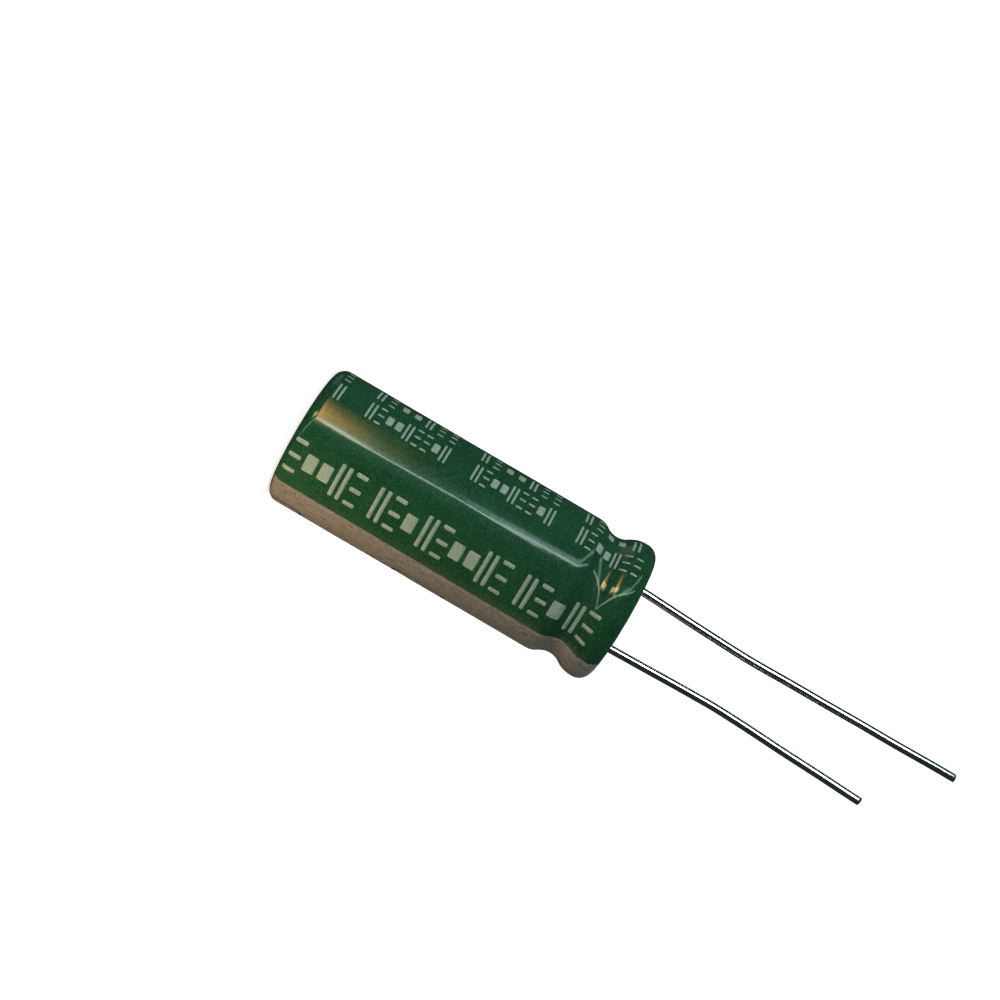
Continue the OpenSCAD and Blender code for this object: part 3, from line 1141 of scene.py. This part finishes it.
@dataclass(frozen=True)
class ViewFrame:
    """Directions of the photograph's view: towards the camera, across the body and along its axis."""

    azimuth: float = 24.3
    roll: float = 30.35

    @property
    def toward(self) -> Vector:
        """Direction from the part to the camera."""
        return self.direction(0.0, 0.0)

    @property
    def across(self) -> Vector:
        """Direction across the body, towards the stripe's side of the picture."""
        return self.direction(90.0, 0.0)

    @property
    def axis(self) -> Vector:
        """Direction of the part's axis."""
        return Vector((0.0, 0.0, 1.0))

    def direction(self, bearing: float, rise: float) -> Vector:
        """A direction by its bearing, from the camera towards the stripe's side, and its rise."""
        b, r = radians(self.azimuth + bearing), radians(rise)
        return Vector((sin(b) * cos(r), -cos(b) * cos(r), sin(r)))


def turn_to(thing: Piece, place: Vector, *axes: Vector) -> None:
    """Puts an object at a place in metres, with its own axes in given directions."""
    thing.matrix_world = Matrix(axes).transposed().to_4x4()
    thing.location = place


@dataclass(frozen=True)
class Hung:
    """Something that hangs round the part and faces it, with its length upright."""

    name: str
    bearing: float
    rise: float
    distance: float
    length: float
    width: float

    def axes(self, view: ViewFrame) -> tuple[Vector, Vector]:
        """Directions of its back and of its length."""
        return view.direction(self.bearing, self.rise), view.direction(self.bearing, self.rise + 90.0)


@dataclass(frozen=True)
class Panel(Hung):
    """A soft lamp aimed at the part: sheen is what the gloss shows of it, wash what it lights."""

    watts: float
    colour: Colour
    lean: float = 0.0
    sheen: bool = True
    wash: bool = True
    wires_only: bool = False

    def build(self, view: ViewFrame, target: Vector) -> None:
        """Hangs the lamp with its long side upright, or leaning by an angle.

        Args:
            view: Directions of the view.
            target: Point that it faces, in metres.
        """
        lamp = bpy.data.lights.new(self.name, "AREA")
        lamp.shape = "RECTANGLE"
        lamp.size = self.length
        lamp.size_y = self.width
        lamp.energy = self.watts
        lamp.color = self.colour
        back, upright = self.axes(view)
        long = Matrix.Rotation(radians(self.lean), 3, back) @ upright
        holder = bpy.data.objects.new(self.name, lamp)
        turn_to(holder, target + back * self.distance, long, back.cross(long), back)
        holder.visible_camera = False
        holder.visible_glossy = self.sheen
        holder.visible_diffuse = self.wash
        if self.wires_only:
            holder.light_linking.receiver_collection = bpy.data.collections[WIRES]
        bpy.context.scene.collection.objects.link(holder)


@dataclass(frozen=True)
class SoftCard(Hung):
    """A glowing card that only the gloss shows, brightest along one line and faded towards its sides."""

    glow: float
    colour: Colour
    peak: float = 0.0
    fade: float = 0.0
    patches: float = 4.0
    patch_glow: tuple[float, float] = (0.75, 1.2)

    def build(self, view: ViewFrame, target: Vector) -> None:
        """Hangs the card.

        Args:
            view: Directions of the view.
            target: Point that it faces, in metres.
        """
        half_w, half_l = self.width / 2, self.length / 2
        corners = [(x * half_w, y * half_l, 0.0) for x, y in ((-1, -1), (1, -1), (1, 1), (-1, 1))]
        card = make_object(self.name, np.array(corners) / MM, [(0, 1, 2, 3)])
        back, long = self.axes(view)
        turn_to(card, target + back * self.distance, long.cross(back), long, back)
        card.visible_camera = False
        card.visible_diffuse = False
        card.visible_shadow = False
        s = Shader(self.name)
        split = s.add("ShaderNodeSeparateXYZ", Vector=s.place)
        x, y = split.outputs["X"], split.outputs["Y"]
        low = s.ranged(x, -half_w, self.peak * half_w)
        high = s.ranged(x, half_w, self.peak * half_w)
        along = s.maths("POWER", s.ranged(y, half_l, -half_l), self.fade)
        shape = s.maths("MULTIPLY", s.maths("MULTIPLY", low, high), along)
        least, most = (self.glow * share for share in self.patch_glow)
        patches = s.ranged(s.noise(self.patches / self.width), 0.3, 0.7, least, most)
        strength = s.maths("MULTIPLY", shape, patches)
        glow = s.add("ShaderNodeEmission", Color=(*self.colour, 1.0), Strength=strength)
        clear = s.add("ShaderNodeBsdfTransparent")
        both = s.add("ShaderNodeAddShader")
        s.feed(both.inputs[0], glow.outputs[0])
        s.feed(both.inputs[1], clear.outputs[0])
        s.feed(s.tree.nodes["Material Output"].inputs["Surface"], both.outputs[0])
        s.tree.nodes.remove(s.surface)
        dress(card, s.material)


@dataclass(frozen=True)
class Studio:
    """A pale cove round the part, its lamps and a dim room."""

    view: ViewFrame
    floor_r: float = 0.9
    cove_r: float = 0.5
    rings: int = 14
    sides: int = 96
    wall_glow: float = 1.1
    floor_glow: float = 0.74
    glow_reach: tuple[float, float] = (0.05, 0.5)
    cove_tints: tuple[Colour, Colour] = ((0.86, 0.86, 0.86), (0.9, 0.9, 0.9))
    cove_roughness: float = 0.9
    mottle_scale: float = 6.0
    room_colour: Colour = (0.8, 0.9, 1.0)
    room_glow: float = 0.03
    target_z: float = 13.0
    panels: tuple[Panel, ...] = (
        Panel("front_soft", -35.0, 12.0, 0.8, 0.6, 0.6, 2.3, (0.96, 1.0, 0.97), sheen=False),
        Panel("low_side", 70.0, 10.0, 0.8, 0.6, 0.4, 0.85, (0.82, 0.97, 1.0), sheen=False),
        Panel("high_side", -85.0, 6.0, 0.8, 0.6, 0.4, 2.2, (0.88, 0.98, 1.0), sheen=False),
        Panel("back_soft", 175.0, 20.0, 0.8, 0.8, 0.8, 4.0, WHITE, sheen=False),
        Panel("near_foot", 19.0, -34.0, 0.045, 0.02, 0.02, 0.003, (1.0, 0.95, 0.84), sheen=False),
        Panel("warm_foot", 52.0, -38.0, 0.029, 0.012, 0.012, 0.003, (1.0, 0.58, 0.22), sheen=False),
        Panel("long_strip", -28.2, -9.7, 0.5, 1.86, 0.03, 1.1, (0.74, 1.0, 0.93), 21.5, wash=False),
        Panel("lead_strip", -38.3, 13.0, 0.5, 0.125, 0.23, 0.8, (0.8, 1.0, 0.97), wires_only=True),
        Panel("sweep_strip", -56.0, 21.0, 0.5, 0.54, 0.07, 0.32, (0.7, 1.0, 0.95), 50.0, wash=False),
        Panel("warm_lamp", -35.5, -33.0, 0.35, 0.16, 0.05, 0.24, (1.0, 0.76, 0.42), wash=False),
        Panel("rear_strip", -120.0, -24.0, 0.5, 0.2, 0.3, 0.05, WHITE, wash=False),
        Panel("side_strip", 110.0, -24.0, 0.5, 0.2, 0.3, 0.06, WHITE, wash=False),
        Panel("top_light", 180.0, 62.0, 0.9, 0.9, 0.9, 4.0, WHITE, sheen=False),
        Panel("top_sheen", 180.0, 62.0, 0.9, 0.9, 0.9, 1.1, WHITE, wash=False),
    )
    wire_light: Panel = Panel("wire_light", 0.0, -13.0, 0.5, 0.25, 0.17, 0.17, WHITE, wires_only=True)
    wire_bearings: tuple[float, ...] = (50.0, 128.0, -140.0, -65.0)
    cards: tuple[SoftCard, ...] = (
        SoftCard("haze_card", -32.0, -2.0, 0.5, 0.095, 0.4, 0.9, (0.45, 1.0, 0.85), 0.0, 0.25),
        SoftCard("sky_card", -31.8, 0.4, 0.5, 0.045, 0.05, 6.0, (0.66, 1.0, 0.93), 0.0, 0.3),
        SoftCard("table_card", 95.0, -1.8, 0.5, 0.14, 0.36, 0.4, (1.0, 0.62, 0.36)),
        SoftCard("line_card", -27.6, -4.4, 0.5, 0.055, 0.04, 7.0, (0.84, 1.0, 0.84)),
        SoftCard("warm_card", -43.5, -10.0, 0.0564, 0.0236, 0.048, 21.0, (1.0, 0.52, 0.14), 0.4, 4.2),
    )

    def build(self) -> None:
        """Builds the cove, the lamps and the room's light."""
        self.cove()
        target = self.view.axis * self.target_z * MM
        for light in (*self.panels, *self.wire_panels(), *self.cards):
            light.build(self.view, target)
        self.room()

    def wire_panels(self) -> list[Panel]:
        """Low lamps round the part that only the wires take, so that they shine from every side."""
        return [replace(self.wire_light, name=f"wire_light_{i}", bearing=bearing)
                for i, bearing in enumerate(self.wire_bearings)]

    def cove(self) -> None:
        """Builds the floor, which curves up into a wall far behind the part on every side."""
        section = [(self.floor_r * i / self.rings, 0.0) for i in range(1, self.rings + 1)]
        for i in range(1, 2 * self.rings):
            a = pi / 2 * i / self.rings
            edge = i < self.rings
            middle, reach = (self.floor_r, self.cove_r) if edge else (0.0, self.floor_r + self.cove_r)
            section.append((middle + reach * sin(a), self.cove_r - reach * cos(a)))
        turns = [2 * pi * j / self.sides for j in range(self.sides)]
        points = [(0.0, 0.0, 0.0), *((r * cos(a), r * sin(a), z) for r, z in section for a in turns)]
        faces: list[Face] = [(0, 1 + j, 1 + (j + 1) % self.sides) for j in range(self.sides)]
        faces += [face[::-1] for face in grid(range(1, len(points), self.sides), self.sides, ring=True)]
        cove = make_object("cove", np.array(points) / MM, faces)
        cove.visible_glossy = False
        cove.visible_diffuse = False
        cove.visible_shadow = False
        s = Shader("pale_cove")
        tint = s.mixed(s.ranged(s.noise(self.mottle_scale), 0.3, 0.7), *self.cove_tints)
        away = s.add("ShaderNodeVectorMath")
        away.operation = "LENGTH"
        s.feed(away.inputs[0], s.place)
        glow = s.ranged(away.outputs["Value"], *self.glow_reach, self.floor_glow, self.wall_glow)
        s.set(Base_Color=tint, Roughness=self.cove_roughness)
        s.set(Emission_Color=(*WHITE, 1.0), Emission_Strength=glow)
        dress(cove, s.material)

    def room(self) -> None:
        """Gives the room a dim even light."""
        world = bpy.data.worlds.new("room")
        world.use_nodes = True
        sky = world.node_tree.nodes["Background"]
        sky.inputs["Color"].default_value = (*self.room_colour, 1.0)
        sky.inputs["Strength"].default_value = self.room_glow
        bpy.context.scene.world = world
        bpy.context.scene.view_settings.view_transform = "Standard"


@dataclass(frozen=True)
class CameraRig:
    """The camera at the photograph's viewing angle."""

    view: ViewFrame
    distance: float = 120.0
    aim_z: float = 14.13
    aim_across: float = -2.74
    stand_z: float = 12.75
    lens: float = 62.4
    film_width: float = 36.0
    clip_start: float = 0.001
    clip_end: float = 10.0

    def build(self) -> None:
        """Places the camera, rolled so that the leads point to the lower right."""
        camera = bpy.data.cameras.new("camera")
        camera.lens = self.lens
        camera.sensor_width = self.film_width
        camera.clip_start = self.clip_start
        camera.clip_end = self.clip_end
        aim = self.view.across * self.aim_across + self.view.axis * self.aim_z
        stand = self.view.toward * self.distance + self.view.across * self.aim_across
        stand = stand + self.view.axis * self.stand_z
        back = (stand - aim).normalized()
        roll = radians(self.view.roll)
        up = -self.view.axis * sin(roll) - self.view.across * cos(roll)
        right = up.cross(back).normalized()
        up = back.cross(right)
        holder = bpy.data.objects.new("camera", camera)
        turn_to(holder, stand * MM, right, up, back)
        bpy.context.scene.collection.objects.link(holder)
        bpy.context.scene.camera = holder


def main() -> None:
    """Builds the dressed part, the studio and the camera."""
    logging.basicConfig(level=logging.INFO, format="%(name)s: %(message)s")
    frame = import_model()
    section = CaseSection()
    view = ViewFrame()
    CameraRig(view).build()
    PrintedSleeve(section).build()
    LeadPair(section).build()
    CaseAndWinding(frame["nodes"]).build()
    Studio(view).build()


if __name__ == "__main__":
    main()
